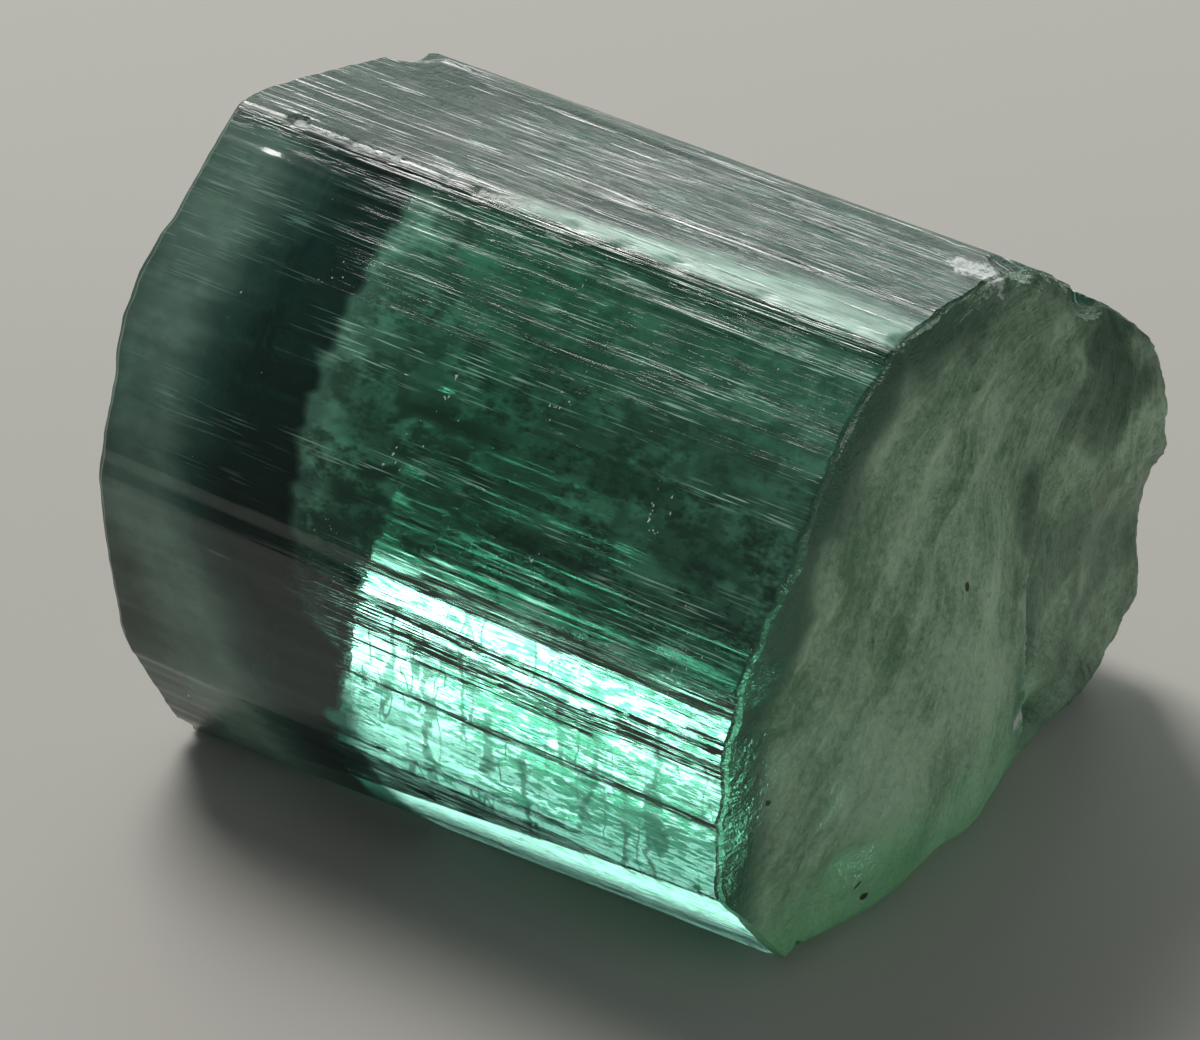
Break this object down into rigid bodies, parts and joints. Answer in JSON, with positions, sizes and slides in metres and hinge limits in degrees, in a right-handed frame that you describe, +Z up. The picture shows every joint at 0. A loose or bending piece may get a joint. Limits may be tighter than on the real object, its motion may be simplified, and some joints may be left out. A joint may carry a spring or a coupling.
{
  "type": "tourmaline crystal",
  "caption": "Stubby see-through tourmaline prism, blue-grey to green, striated along its length and broken across at one end, lying on a prism face.",
  "frame": {"origin": "middle of the underside of the crystal's bounding box, on the surface that it lies on", "axes": "+X along the crystal's long (c) axis towards the broken end, +Y across the prism, +Z up from the prism face that it rests on"},
  "size_m": [0.0174, 0.0148, 0.0117],
  "materials": {
    "tourmaline": "gloss"
  },
  "bodies": {
    "root": {"tourmaline_crystal": "tourmaline"}
  },
  "joints": []
}
